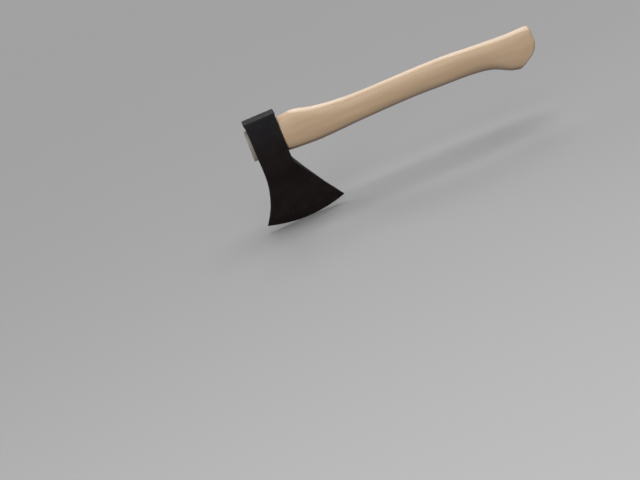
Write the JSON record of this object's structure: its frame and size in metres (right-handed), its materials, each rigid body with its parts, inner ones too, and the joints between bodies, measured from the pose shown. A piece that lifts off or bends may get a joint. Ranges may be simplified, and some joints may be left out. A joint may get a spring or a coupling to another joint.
{
  "type": "hatchet",
  "caption": "One-hand hatchet: black forged steel head with a long beard and a flat poll, wedged onto a curved light wooden handle with a swept knob.",
  "frame": {"origin": "lowest level of the cutting edge, on the centre line of the eye block and in the plane of symmetry", "axes": "+X along the handle from the head to the butt, +Z from the cutting edge up to the poll, Y across the head"},
  "size_m": [0.3718, 0.0264, 0.1345],
  "materials": {
    "black_steel": "matte black over forged steel",
    "handle_wood": "satin, sanded",
    "wedge_wood": "raw end grain",
    "bright_steel": "plain drawn steel"
  },
  "bodies": {
    "root": {"head": "black_steel", "handle": "handle_wood", "wooden_wedge": "wedge_wood", "ring_wedge": "bright_steel"}
  },
  "joints": []
}
